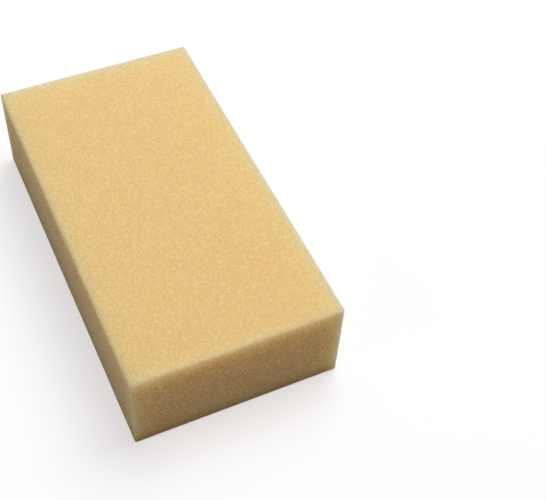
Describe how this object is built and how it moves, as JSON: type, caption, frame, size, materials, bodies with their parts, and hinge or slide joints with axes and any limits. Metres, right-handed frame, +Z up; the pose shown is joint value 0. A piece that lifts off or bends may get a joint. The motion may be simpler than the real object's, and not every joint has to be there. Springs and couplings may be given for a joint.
{
  "type": "cleaning sponge",
  "caption": "Plain rectangular cleaning sponge: one block of fine open-cell foam with flat faces and lightly softened cut edges.",
  "frame": {"origin": "middle of the block's bottom face", "axes": "+Y along the length, +X across the width, +Z up through the thickness"},
  "size_m": [0.106, 0.2, 0.05],
  "materials": {
    "foam": "matte"
  },
  "bodies": {
    "root": {"foam_block": "foam"}
  },
  "joints": []
}
